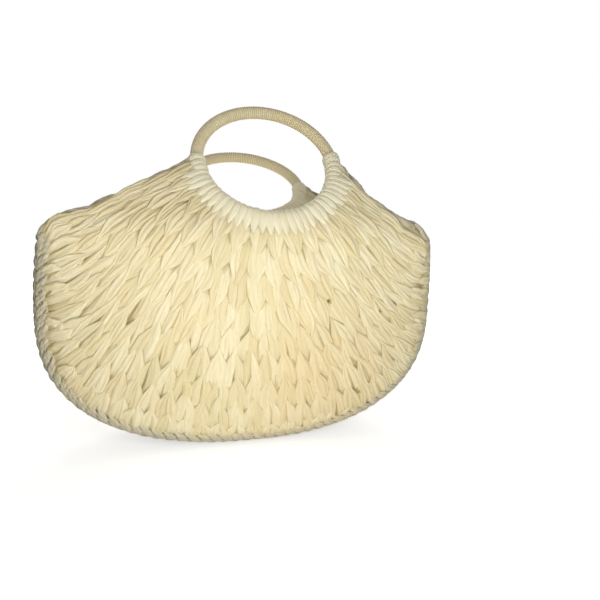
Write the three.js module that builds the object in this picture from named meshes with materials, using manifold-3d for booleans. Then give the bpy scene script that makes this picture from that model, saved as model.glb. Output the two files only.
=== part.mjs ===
// Straw half-moon tote bag: a woven basket with two round hoop handles.
// Millimetres. X runs across the bag, the front faces -Y, Z is up, and the floor is at z = 0.
// The origin is the middle of the flat patch that the bag stands on.
// Each handle (hoop, winding, collar, woven shoulders) folds about a straight line just under its
// collar, where the weave bends.

import * as THREE from "three";
import { mergeVertices } from "three/addons/utils/BufferGeometryUtils.js";
import Module from "manifold-3d";

// Basket outline, seen from the front
const bagHalfWidth = 209; // widest half width
const widestHeight = 138; // height of the widest level
const outlinePower = 2.35; // 2 is a true ellipse, more is boxier
const floorTrim = 3.5; // how much of the belly the floor flattens
const earDrawIn = 9; // how much narrower each side is at the ears
const foldHeight = 226; // height of the two fold lines

// Basket depth, seen from the side
const weaveThickness = 9;
const bellyHalfDepth = 57; // outer face of the body panels at their fullest
const seamHalfDepth = 47; // outer face of the body panels at the gusset seam
const foldHalfDepth = 48; // from the middle of the bag to each fold line
const gussetBulge = 12; // how far the gusset stands out from the seam
const crownPower = 2.6; // how far out a panel stays full before it falls to its seam

// Hoops, with their cord and their straw collar
const hoopRadius = 74.5; // to the middle of the rod
const rodRadius = 5.2;
const hoopRise = 92; // hoop centre above the fold line, along the shoulder panel
const collarRadius = 9.2; // outer radius of the straw round the rod
const cordThickness = 2.1;
const cordCrown = 0.5; // how much thinner the band of cords is at its edges
const bandGap = 0.55; // between neighbouring turns of the band

// The two handles: the degrees that each leans back from upright, how far its hoop sits right of
// the middle, and the degrees above level where the collar stops at its left and right end
const handles = {
  front: { side: -1, lean: 39, offset: 24, leftEnd: 1, rightEnd: 10 },
  back: { side: 1, lean: 58, offset: 16, leftEnd: 1, rightEnd: 1 },
};

// Edge of a woven shoulder panel, from an ear to the collar: x from the middle, up from the fold
// line, and the share of the hoop's offset by which the point moves with it
const meetOut = 9.5; // beyond the rod's ring, where the edge meets the collar
const meetDrop = 13; // below the hoop's centre, at the same point
const shoulderFoot = { x: 187, up: 0, follow: 0 };
const earCorner = { x: 180, up: 8, follow: 0 };
const shoulderBend = { x: 156, up: 17, follow: 0.1 };
const shoulderMiddle = { x: 119, up: 45, follow: 0.35 };
const shoulderTop = { x: hoopRadius + meetOut, up: hoopRise - meetDrop, follow: 1 };
const edgeBraidRadius = 4.2;
const earRimRadius = 3.2;

const clearance = 0.3; // between pieces that touch
const foldTrim = 0.02; // keeps the fold roll just inside the plate that it joins

// Counts
const windingTurns = 24; // each turn of the band stands for four turns of the fine cord
const stepsPerTurn = 10;
const cornerSteps = 3; // where the band turns to run straight into the collar
const hoopStepAngle = 6; // degrees
const rodSides = 8;
const collarSides = 10;
const seamSteps = 18; // along each half of the seam, from the middle of the base to an ear
const baseSteps = 7; // how many of them the base gusset takes on each side
const panelRows = 7;
const gussetAcross = 10;
const braidSteps = 14;
const braidSides = 10;
const foldSides = 16;

const { degToRad, lerp, smoothstep } = THREE.MathUtils;
const fullTurn = 2 * Math.PI;

const straw = (color, roughness = 0.75) =>
  new THREE.MeshStandardMaterial({ color, roughness, metalness: 0 });
const materials = {
  weave: straw(0xecdfb4),
  gusset: straw(0xdccf9f),
  collar: straw(0xe9dcae),
  braid: straw(0xe2d4a5),
  cord: straw(0xc9bb92, 0.85),
  rod: straw(0xb08d5c, 0.6),
};

const wasm = await Module();
wasm.setup();

// Mesh helpers

// Welds shared corners, drops triangles without area and turns the faces outwards.
function closedGeometry(positions) {
  const loose = new THREE.BufferGeometry();
  loose.setAttribute("position", new THREE.Float32BufferAttribute(positions, 3));
  const weldDistance = 0.002;
  const geometry = mergeVertices(loose, weldDistance);
  const welded = geometry.index.array;
  const index = [];
  for (let i = 0; i < welded.length; i += 3) {
    const [a, b, c] = welded.subarray(i, i + 3);
    if (a !== b && b !== c && c !== a) index.push(a, b, c);
  }
  const corner = (i) => new THREE.Vector3().fromBufferAttribute(geometry.attributes.position, i);
  let volume = 0;
  for (let i = 0; i < index.length; i += 3) {
    const [a, b, c] = [corner(index[i]), corner(index[i + 1]), corner(index[i + 2])];
    volume += a.dot(b.cross(c));
  }
  geometry.setIndex(volume < 0 ? index.reverse() : index);
  return geometry;
}

// A closed solid between an outer and an inner grid of points, each a function of u and v from
// 0 to 1. With wrap, v runs round a tube.
function slab(uSteps, vSteps, outer, inner, wrap = false) {
  const positions = [];
  const at = (face, i, j) => face(i / uSteps, wrap && j === vSteps ? 0 : j / vSteps).toArray();
  const quad = (a, b, c, d) => positions.push(...a, ...b, ...c, ...a, ...c, ...d);
  for (let i = 0; i < uSteps; i++) {
    for (let j = 0; j < vSteps; j++) {
      quad(at(outer, i, j), at(outer, i + 1, j), at(outer, i + 1, j + 1), at(outer, i, j + 1));
      quad(at(inner, i, j), at(inner, i, j + 1), at(inner, i + 1, j + 1), at(inner, i + 1, j));
    }
  }
  for (let j = 0; j < vSteps; j++) {
    const [start, end, next] = [0, uSteps, j + 1];
    quad(at(outer, start, j), at(outer, start, next), at(inner, start, next), at(inner, start, j));
    quad(at(outer, end, j), at(inner, end, j), at(inner, end, next), at(outer, end, next));
  }
  for (let i = 0; i < uSteps && !wrap; i++) {
    const [low, high, next] = [0, vSteps, i + 1];
    quad(at(outer, i, low), at(inner, i, low), at(inner, next, low), at(outer, next, low));
    quad(at(outer, i, high), at(outer, next, high), at(inner, next, high), at(inner, i, high));
  }
  return closedGeometry(positions);
}

// A tube through a list of sections, each a ring of points, with flat ends.
function tube(sections) {
  const positions = [];
  const sides = sections[0].length;
  const triangle = (...corners) => corners.forEach((p) => positions.push(...p.toArray()));
  const middle = (ring) =>
    ring.reduce((sum, p) => sum.add(p), new THREE.Vector3()).divideScalar(sides);
  for (let i = 0; i + 1 < sections.length; i++) {
    const [here, there] = [sections[i], sections[i + 1]];
    for (let k = 0; k < sides; k++) {
      const next = (k + 1) % sides;
      triangle(here[k], there[k], there[next]);
      triangle(here[k], there[next], here[next]);
    }
  }
  const [first, last] = [sections[0], sections[sections.length - 1]];
  for (let k = 0; k < sides; k++) {
    const next = (k + 1) % sides;
    triangle(middle(first), first[k], first[next]);
    triangle(middle(last), last[next], last[k]);
  }
  return closedGeometry(positions);
}

const times = (count, make) => Array.from({ length: count }, (_, i) => make(i));

const weldedOnly = (geometry) => {
  const flat = geometry.index ? geometry.toNonIndexed() : geometry;
  return closedGeometry(flat.attributes.position.array);
};

const toSolid = (geometry) =>
  new wasm.Manifold(
    new wasm.Mesh({
      numProp: 3,
      vertProperties: new Float32Array(geometry.attributes.position.array),
      triVerts: new Uint32Array(geometry.index.array),
    })
  );

const toGeometry = (solid) => {
  const { vertProperties, triVerts } = solid.getMesh();
  const geometry = new THREE.BufferGeometry();
  geometry.setAttribute("position", new THREE.BufferAttribute(vertProperties, 3));
  return geometry.setIndex(new THREE.BufferAttribute(triVerts, 1));
};

// Basket

const bellyReach = widestHeight + floorTrim; // from the widest level to the belly's lowest point
const panelTop = foldHeight - weaveThickness / 2 - clearance;
const gussetTop = panelTop - 2 * earRimRadius - clearance;

function sideHalfWidth(z, inset) {
  const rise = Math.max(z - widestHeight, 0) / (foldHeight - widestHeight);
  return bagHalfWidth - inset - earDrawIn * rise * rise;
}

// Half outline drawn in by inset: t is 0 at the bottom, 1 at the widest level and 2 at top.
function outlineAt(t, inset, top = panelTop) {
  if (t >= 1) {
    const z = lerp(widestHeight, top, t - 1);
    return { x: sideHalfWidth(z, inset), z };
  }
  const angle = (t * Math.PI) / 2;
  return {
    x: (bagHalfWidth - inset) * Math.sin(angle) ** (2 / outlinePower),
    z: widestHeight - (bellyReach - inset) * Math.cos(angle) ** (2 / outlinePower),
  };
}

// The seam's length, as pairs of t and the length so far, and t for a share of that length.
const seamTable = times(241, (i) => ({ t: i / 120, length: 0 }));
seamTable.forEach((row, i) => {
  if (i === 0) return;
  const before = seamTable[i - 1];
  const [a, b] = [outlineAt(before.t, gussetBulge), outlineAt(row.t, gussetBulge)];
  row.length = before.length + Math.hypot(b.x - a.x, b.z - a.z);
});
const seamLength = seamTable[seamTable.length - 1].length;

function seamT(share) {
  const wanted = Math.min(share, 1) * seamLength;
  const next = Math.max(1, seamTable.findIndex((row) => row.length >= wanted));
  const [a, b] = [seamTable[next - 1], seamTable[next]];
  return lerp(a.t, b.t, (wanted - a.length) / (b.length - a.length));
}

function seamDepth(z) {
  const rise = smoothstep(z, widestHeight, panelTop);
  return lerp(seamHalfDepth, foldHalfDepth + weaveThickness / 2, rise);
}

// Half depth of a body panel's outer face at a point of the front view.
function panelDepth(x, z) {
  const side = Math.abs(x) / sideHalfWidth(z, gussetBulge);
  const drop = Math.max(widestHeight - z, 0) / (bellyReach - gussetBulge);
  const level = (side ** outlinePower + drop ** outlinePower) ** (1 / outlinePower);
  const crown = 1 - Math.min(level, 1) ** crownPower;
  const fullness = 1 - smoothstep(z, widestHeight, panelTop);
  return seamDepth(z) + (bellyHalfDepth - seamHalfDepth) * crown * fullness;
}

// A body panel's columns fan out from its straight top edge to the seam. Side is -1 at the front.
function bodyPanel(side) {
  const earX = sideHalfWidth(panelTop, gussetBulge);
  const face = (depthIn) => (u, v) => {
    const across = 2 * u - 1;
    const seam = outlineAt(seamT(Math.abs(across)), gussetBulge);
    const x = lerp(earX * across, seam.x * Math.sign(across), v);
    const z = lerp(panelTop, seam.z, v);
    return new THREE.Vector3(x, side * (panelDepth(x, z) - depthIn), z);
  };
  return slab(2 * seamSteps, panelRows, face(0), face(weaveThickness));
}

// A stretch of the gusset between two shares of the half outline, negative on the left. Its outer
// face bulges from seam to seam and is flat where it meets the floor.
function gussetStretch(from, to) {
  const innerInset = gussetBulge - clearance;
  const face = (bulge) => (u, v) => {
    const share = lerp(from, to, u);
    const t = seamT(Math.abs(share));
    const turn = (v - 0.5) * Math.PI;
    const inset = lerp(innerInset, 0, bulge * Math.cos(turn));
    const point = outlineAt(t, inset, gussetTop);
    const y = Math.sin(turn) * seamDepth(outlineAt(t, innerInset, gussetTop).z);
    return new THREE.Vector3(point.x * Math.sign(share), y, Math.max(point.z, 0));
  };
  const steps = Math.round(Math.abs(to - from) * seamSteps);
  return slab(steps, gussetAcross, face(1), face(0));
}

// The finished top end of a side gusset: a round bar from ear to ear, bowed like the gusset.
function earRim(side) {
  const z = panelTop - earRimRadius;
  const halfLength = seamDepth(panelTop) - weaveThickness;
  const inner = sideHalfWidth(z, gussetBulge) + clearance + earRimRadius;
  const bow = gussetBulge - 2 * earRimRadius - clearance;
  return tube(
    times(braidSteps + 1, (i) => {
      const along = (2 * i) / braidSteps - 1;
      const x = inner + bow * Math.cos((along * Math.PI) / 2);
      return times(braidSides, (k) => {
        const angle = (k / braidSides) * fullTurn;
        const [out, up] = [earRimRadius * Math.cos(angle), earRimRadius * Math.sin(angle)];
        return new THREE.Vector3(side * (x + out), along * halfLength, z + up);
      });
    })
  );
}

// Handles. Each is drawn upright on its fold line: x across, z up the panel from the fold line
// and y through the weave.

// A point at an angle round the hoop, and at a turn and a radius round its rod.
function roundRod({ offset }, angle, turn, radius) {
  const reach = hoopRadius + radius * Math.cos(turn);
  return new THREE.Vector3(
    offset + reach * Math.cos(angle),
    radius * Math.sin(turn),
    hoopRise + reach * Math.sin(angle)
  );
}

const wholeRing = ({ offset }, radius, sides) => {
  const steps = 360 / hoopStepAngle;
  const ring = new THREE.TorusGeometry(hoopRadius, radius, sides, steps);
  return weldedOnly(ring.rotateX(Math.PI / 2).translate(offset, 0, hoopRise));
};

const collarStart = ({ leftEnd }) => degToRad(180 - leftEnd);
const collarEnd = ({ rightEnd }) => degToRad(360 + rightEnd);

function collar(handle) {
  const [start, end] = [collarStart(handle), collarEnd(handle)];
  const bore = (rodRadius + clearance) / Math.cos(Math.PI / collarSides);
  const steps = Math.round((end - start) / degToRad(hoopStepAngle));
  const face = (radius) => (u, v) => roundRod(handle, lerp(start, end, u), v * fullTurn, radius);
  return slab(steps, collarSides, face(collarRadius), face(bore), true);
}

// The cord winding: one flat band in turns round the rod, over the arc that the collar leaves
// free. At each end the band turns a corner and runs straight into the collar's end face.
function cordSections(handle) {
  const inner = (rodRadius + clearance) / Math.cos(Math.PI / stepsPerTurn);
  const outer = inner + cordThickness;
  const tail = cordThickness / hoopRadius;
  const from = collarEnd(handle) - fullTurn + clearance / hoopRadius + tail;
  const to = collarStart(handle) - clearance / hoopRadius - tail;
  const gap = bandGap / (hoopRadius - outer);
  const pitch = (to - from + gap) / (windingTurns + 1);
  const width = pitch - gap;
  const cornerTurn = (width * hoopRadius) / ((inner + outer) / 2);
  const lastTurn = windingTurns * fullTurn;
  const quarter = (i) => ((i / cornerSteps) * Math.PI) / 2;

  const ends = [[[from - tail, 0], [from - tail, -cornerTurn]]];
  for (let i = 0; i < cornerSteps; i++) {
    const [sin, cos] = [Math.sin(quarter(i)), Math.cos(quarter(i))];
    ends.push([[from, 0], [from + width * sin, -cornerTurn * cos]]);
  }
  for (let i = 0; i <= windingTurns * stepsPerTurn; i++) {
    const left = from + (pitch * i) / stepsPerTurn;
    const turn = (i / stepsPerTurn) * fullTurn;
    ends.push([[left, turn], [left + width, turn]]);
  }
  for (let i = 1; i <= cornerSteps; i++) {
    const [sin, cos] = [Math.sin(quarter(i)), Math.cos(quarter(i))];
    ends.push([[to - width * cos, lastTurn + cornerTurn * sin], [to, lastTurn]]);
  }
  ends.push([[to + tail, lastTurn + cornerTurn], [to + tail, lastTurn]]);

  const radii = [inner, inner, inner, outer - cordCrown, outer, outer - cordCrown];
  const places = [0, 0.5, 1, 1, 0.5, 0];
  return ends.map(([left, right]) =>
    places.map((place, k) =>
      roundRod(handle, lerp(left[0], right[0], place), lerp(left[1], right[1], place), radii[k])
    )
  );
}

// The least distance between points of a winding that lie half a turn or more apart along it.
function leastGap(sections) {
  let least = Infinity;
  sections.forEach((ring, i) => {
    for (const other of sections.slice(i + stepsPerTurn / 2)) {
      for (const p of ring) {
        for (const q of other) least = Math.min(least, p.distanceTo(q));
      }
    }
  });
  return least;
}

// A shoulder's woven edge on one side, from its foot to the collar, moved out by a distance.
function shoulderCurve({ offset }, side, out) {
  const points = [shoulderFoot, earCorner, shoulderBend, shoulderMiddle, shoulderTop];
  const edge = new THREE.CatmullRomCurve3(
    points.map(({ x, up, follow }) => new THREE.Vector3(side * x + follow * offset, 0, up)),
    false,
    "centripetal"
  );
  return times(braidSteps + 1, (i) => {
    const along = edge.getTangentAt(i / braidSteps);
    const outward = new THREE.Vector3(side * along.z, 0, Math.abs(along.x));
    return edge.getPointAt(i / braidSteps).addScaledVector(outward, out);
  });
}

// What the hoop and its collar take out of the woven shoulders.
function hoopSpace(handle) {
  const ring = toSolid(wholeRing(handle, collarRadius + clearance, collarSides));
  const discDepth = 3 * weaveThickness;
  const disc = new THREE.CylinderGeometry(hoopRadius, hoopRadius, discDepth, 360 / hoopStepAngle);
  disc.translate(handle.offset, 0, hoopRise);
  return ring.add(toSolid(weldedOnly(disc)));
}

// A shoulder panel: the flat weave between the fold line and the collar, and the rounded fold
// along its foot.
function shoulderPanel(handle) {
  const [right, left] = [shoulderCurve(handle, 1, 0), shoulderCurve(handle, -1, 0).reverse()];
  const outline = new THREE.Shape([...right, ...left].map((p) => new THREE.Vector2(p.x, p.z)));
  const plate = new THREE.ExtrudeGeometry(outline, { depth: weaveThickness, bevelEnabled: false });
  plate.translate(0, 0, -weaveThickness / 2).rotateX(Math.PI / 2);
  const foldRadius = weaveThickness / 2 - foldTrim;
  const fold = tube(
    [-earCorner.x, earCorner.x].map((x) =>
      times(foldSides, (k) => {
        const angle = (k / foldSides) * fullTurn;
        return new THREE.Vector3(x, foldRadius * Math.cos(angle), foldRadius * Math.sin(angle));
      })
    )
  );
  const woven = toSolid(weldedOnly(plate)).add(toSolid(fold));
  return toGeometry(woven.subtract(hoopSpace(handle)));
}

// The strands along a shoulder's sloping edge, from the ear up into the collar.
function shoulderEdge(handle, side) {
  const path = shoulderCurve(handle, side, edgeBraidRadius + clearance);
  path[0].z = Math.max(path[0].z, edgeBraidRadius);
  const last = path[path.length - 1];
  const before = path[path.length - 2];
  path.push(last.clone().add(last.clone().sub(before).setLength(collarRadius)));
  const sections = path.map((p, i) => {
    const next = path[Math.min(i + 1, path.length - 1)];
    const along = next.clone().sub(path[Math.max(i - 1, 0)]).normalize();
    const outward = new THREE.Vector3(along.z, 0, -along.x);
    return times(braidSides, (k) => {
      const angle = (k / braidSides) * fullTurn;
      const ring = p.clone().addScaledVector(outward, edgeBraidRadius * Math.cos(angle));
      ring.y += edgeBraidRadius * Math.sin(angle);
      return ring;
    });
  });
  return toGeometry(toSolid(tube(sections)).subtract(hoopSpace(handle)));
}

// The whole bag

function piece(name, geometry, material) {
  geometry.computeVertexNormals();
  const mesh = new THREE.Mesh(geometry, material);
  mesh.name = name;
  return mesh;
}

function handleGroup(name, handle) {
  const group = new THREE.Group();
  const winding = cordSections(handle);
  console.log(`${name} cord winding: least gap to itself ${leastGap(winding).toFixed(2)} mm`);
  group.add(
    piece(`${name}_hoop`, wholeRing(handle, rodRadius, rodSides), materials.rod),
    piece(`${name}_cord_winding`, tube(winding), materials.cord),
    piece(`${name}_collar`, collar(handle), materials.collar),
    piece(`${name}_shoulder_panel`, shoulderPanel(handle), materials.weave),
    piece(`${name}_left_shoulder_edge`, shoulderEdge(handle, -1), materials.braid),
    piece(`${name}_right_shoulder_edge`, shoulderEdge(handle, 1), materials.braid)
  );
  group.position.set(0, handle.side * foldHalfDepth, foldHeight);
  group.rotation.x = -degToRad(handle.lean);
  return group;
}

function basket() {
  const baseShare = baseSteps / seamSteps;
  const sideShare = baseShare + clearance / seamLength;
  const group = new THREE.Group();
  group.add(
    piece("front_body_panel", bodyPanel(-1), materials.weave),
    piece("back_body_panel", bodyPanel(1), materials.weave),
    piece("base_gusset", gussetStretch(-baseShare, baseShare), materials.gusset),
    piece("left_gusset", gussetStretch(-1, -sideShare), materials.gusset),
    piece("right_gusset", gussetStretch(sideShare, 1), materials.gusset),
    piece("left_ear_rim", earRim(-1), materials.braid),
    piece("right_ear_rim", earRim(1), materials.braid)
  );
  return group;
}

const bag = new THREE.Group();
bag.add(basket(), ...Object.entries(handles).map(([name, handle]) => handleGroup(name, handle)));
export default bag;
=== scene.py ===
# Straw half-moon tote bag: husk leaves, bands and cord over the CAD frame.
# Lengths are in millimetres and become metres where a mesh is made. X runs across the bag, the
# front faces -Y and Z is up. A side is -1 for the front and 1 for the back, and a hand is -1 for
# the left and 1 for the right, as seen from the front.

import math

import bpy
import numpy as np
from mathutils import Matrix, Vector


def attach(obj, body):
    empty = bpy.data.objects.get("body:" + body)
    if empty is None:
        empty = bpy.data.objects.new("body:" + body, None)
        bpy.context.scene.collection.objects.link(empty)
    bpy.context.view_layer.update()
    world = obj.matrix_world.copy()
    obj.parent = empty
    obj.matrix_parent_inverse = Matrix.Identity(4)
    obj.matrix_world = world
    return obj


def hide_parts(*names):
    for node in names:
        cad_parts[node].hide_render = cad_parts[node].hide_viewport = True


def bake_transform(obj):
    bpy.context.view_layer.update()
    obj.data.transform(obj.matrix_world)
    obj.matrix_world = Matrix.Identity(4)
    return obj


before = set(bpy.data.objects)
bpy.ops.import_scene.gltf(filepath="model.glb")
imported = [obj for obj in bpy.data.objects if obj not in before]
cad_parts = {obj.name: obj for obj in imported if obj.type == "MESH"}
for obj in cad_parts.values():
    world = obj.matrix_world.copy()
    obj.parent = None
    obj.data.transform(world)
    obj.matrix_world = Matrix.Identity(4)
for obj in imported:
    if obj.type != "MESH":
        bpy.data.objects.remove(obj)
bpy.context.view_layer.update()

MM = 0.001
TINY = 1e-9
FRONT, BACK = -1, 1
LEFT, RIGHT = -1, 1
SIDE_NAME = {FRONT: "front", BACK: "back"}
HAND_NAME = {LEFT: "left", RIGHT: "right"}
rng = np.random.default_rng(11)

# Dimensions of the CAD frame
BAG_HALF_WIDTH = 209
WIDEST_HEIGHT = 138
OUTLINE_POWER = 2.35
FLOOR_TRIM = 3.5
BELLY_REACH = WIDEST_HEIGHT + FLOOR_TRIM
EAR_DRAW_IN = 9
FOLD_HEIGHT = 226
WEAVE_THICKNESS = 9
PANEL_TOP = FOLD_HEIGHT - WEAVE_THICKNESS / 2
BELLY_HALF_DEPTH = 57
SEAM_HALF_DEPTH = 47
FOLD_HALF_DEPTH = 48
GUSSET_BULGE = 12
CROWN_POWER = 2.6
HOOP_RADIUS = 74.5
ROD_RADIUS = 5.2
HOOP_RISE = 92
HOOP_OFFSET = {FRONT: 24, BACK: 16}
COLLAR_ENDS = {FRONT: (1, 10), BACK: (1, 1)}
LEAN = {FRONT: math.radians(39), BACK: math.radians(58)}
EAR_RIM_RADIUS = 3.2

# Nothing comes nearer to the floor than this
FLOOR_GAP = 0.2

# Shoulder edge, from the collar down to the ear: x from the middle, height above the fold line
# and the share of the hoop's offset by which the point moves
SHOULDER_EDGE = [(85, 80, 1), (119, 46, 0.35), (156, 18, 0.1), (178, 9, 0), (189.5, -8, 0)]


# Sums

def lerp(a, b, t):
    return a + (b - a) * t


def smooth(t):
    t = np.clip(t, 0, 1)
    return t * t * (3 - 2 * t)


def unit(vectors):
    return vectors / (np.linalg.norm(vectors, axis=-1, keepdims=True) + TINY)


def path_lengths(points):
    steps = np.linalg.norm(np.diff(points, axis=0), axis=1)
    return np.concatenate([[0], np.cumsum(steps)])


def resample(points, count):
    """Points at equal steps along a path, and the path's length."""
    lengths = path_lengths(points)
    at = np.linspace(0, lengths[-1], count)
    return np.stack([np.interp(at, lengths, axis) for axis in points.T], -1), lengths[-1]


def read_table(table, row, column):
    """Values between the entries of a table, at shares of its rows and columns."""
    row = np.clip(row, 0, 1) * (table.shape[0] - 1)
    column = np.clip(column, 0, 1) * (table.shape[1] - 1)
    row, column = np.broadcast_arrays(row, column)
    i = np.minimum(row.astype(int), table.shape[0] - 2)
    j = np.minimum(column.astype(int), table.shape[1] - 2)
    down, right = (row - i)[..., None], (column - j)[..., None]
    upper = lerp(table[i, j], table[i, j + 1], right)
    return lerp(upper, lerp(table[i + 1, j], table[i + 1, j + 1], right), down)


def toward_sides(share, gain, start):
    """A share across a face as 0 in its middle and 1 at its sides."""
    return smooth(np.abs(2 * share - 1) * gain - start)


# Shape of the bag, as in the CAD

def side_half_width(z, inset):
    rise = np.clip((z - WIDEST_HEIGHT) / (FOLD_HEIGHT - WIDEST_HEIGHT), 0, None)
    return BAG_HALF_WIDTH - inset - EAR_DRAW_IN * rise**2


def half_outline(t, inset):
    """x and z of the outline drawn in by inset: t is 0 at the bottom, 1 at the widest, 2 on top."""
    angle = np.clip(t, 0, 1) * math.pi / 2
    low_x = (BAG_HALF_WIDTH - inset) * np.sin(angle) ** (2 / OUTLINE_POWER)
    low_z = WIDEST_HEIGHT - (BELLY_REACH - inset) * np.cos(angle) ** (2 / OUTLINE_POWER)
    high_z = lerp(WIDEST_HEIGHT, PANEL_TOP, np.clip(t - 1, 0, 1))
    high = t >= 1
    return np.where(high, side_half_width(high_z, inset), low_x), np.where(high, high_z, low_z)


# The seam between a face and the gusset, from the left ear round the bottom to the right ear
HALF_SEAM_STEPS = 400
half_seam = np.linspace(2, 0, HALF_SEAM_STEPS)
SEAM_T = np.concatenate([half_seam, np.linspace(0, 2, HALF_SEAM_STEPS)[1:]])
SEAM_HAND = np.where(np.arange(SEAM_T.size) < HALF_SEAM_STEPS, LEFT, RIGHT)
seam_x, seam_z = half_outline(SEAM_T, GUSSET_BULGE)
SEAM = np.stack([seam_x * SEAM_HAND, seam_z], 1)
SEAM_LENGTHS = path_lengths(SEAM)
SEAM_LENGTH = SEAM_LENGTHS[-1]


def seam_point(share):
    """x and z on the seam, from the left ear at 0 round the bottom to the right ear at 1."""
    at = np.clip(share, 0, 1) * SEAM_LENGTH
    return np.interp(at, SEAM_LENGTHS, SEAM[:, 0]), np.interp(at, SEAM_LENGTHS, SEAM[:, 1])


def seam_depth(z):
    rise = smooth((z - WIDEST_HEIGHT) / (PANEL_TOP - WIDEST_HEIGHT))
    return lerp(SEAM_HALF_DEPTH, FOLD_HALF_DEPTH + WEAVE_THICKNESS / 2, rise)


# The most that the gusset's round edge falls away, as a share of its bulge
EDGE_FALL = 0.8


def panel_depth(x, z):
    """Half depth of the face. Past the seam it falls away along the gusset's round edge."""
    drop = np.clip(WIDEST_HEIGHT - z, 0, None)
    wide = np.abs(x) / side_half_width(z, GUSSET_BULGE)
    low = drop / (BELLY_REACH - GUSSET_BULGE)
    level = (wide**OUTLINE_POWER + low**OUTLINE_POWER) ** (1 / OUTLINE_POWER)
    crown = 1 - np.clip(level, 0, 1) ** CROWN_POWER
    fullness = 1 - smooth((z - WIDEST_HEIGHT) / (PANEL_TOP - WIDEST_HEIGHT))
    past_seam = np.clip(1 - 1 / np.maximum(level, 1), 0, 1) * np.hypot(x, drop)
    edge = np.sqrt(1 - np.clip(past_seam / GUSSET_BULGE, 0, EDGE_FALL) ** 2)
    return seam_depth(z) * edge + (BELLY_HALF_DEPTH - SEAM_HALF_DEPTH) * crown * fullness


def handle_point(side, x, out, up):
    """A point of a handle at rest: out of the weave, and up from the fold line along it."""
    lean = LEAN[side]
    y = side * FOLD_HALF_DEPTH + up * math.sin(lean) + side * out * math.cos(lean)
    z = FOLD_HEIGHT + up * math.cos(lean) - side * out * math.sin(lean)
    x, y, z = np.broadcast_arrays(x, y, z)
    return np.stack([x, y, z], -1)


def bend_at_fold(made, side):
    """Bake the piece's transform into its mesh; the hinge on the fold line is worked out but not
    used.
    """
    hinge = Vector(handle_point(side, 0, 0, 0))
    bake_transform(made)


# Sheets that a weave follows. flat() turns a share across and a distance down the leaves into
# flat coordinates, and raised() turns those and a height above the sheet into a point in space.

# The leaves of a face flow in lines from the collar down to the seam, and its rows lie across
# those lines at a steady distance from the collar.
FLOW_LINES, FLOW_STEPS = 241, 81
ROW_HEIGHT = 27.7
ROWS = 11
DOWN_ROWS = 4
STITCH_WIDTH = 18.6
SIDE_STITCH_WIDTH = 13.8

# The lines' start on a circle round the hoop's centre, in millimetres and degrees
WEAVE_START_RADIUS = 88
WEAVE_START_ANGLE = 10
FAN_TURN = -11.5

# The lines' end on the seam, their direction there and the reach of their first and last bend
SEAM_SHIFT = 0.02
SEAM_SPREAD = 0.2
SLOPE_STEP = 0.004
END_UPRIGHT = 1.45
START_PULL = 0.27
END_PULL = 0.25

# The share of the lines that the shoulder's edge draws along
EDGE_REACH = 0.22

# How far leaves run past the seam, below and at each side, and up under the collar
OVERHANG = 8
SHORT_OVERHANG = (2, 5)
LONG_LEAVES = 0.25
SIDE_HANG = {LEFT: -6, RIGHT: 0}
SIDE_HANG_SPREAD = 0.8
UNDERHANG = 9

# The fold is rounded by a mean over so many heights, so far up and down
FOLD_SOFTNESS = 13
FOLD_SAMPLES = 5

# Gain and start of the change from the middle of a face to its sides
WIDTH_CHANGE = (2, 0.4)
FILL_CHANGE = (2, 0.6)
HANG_CHANGE = (4, 1.2)
TILT_CHANGE = (2.2, 0.5)


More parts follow.
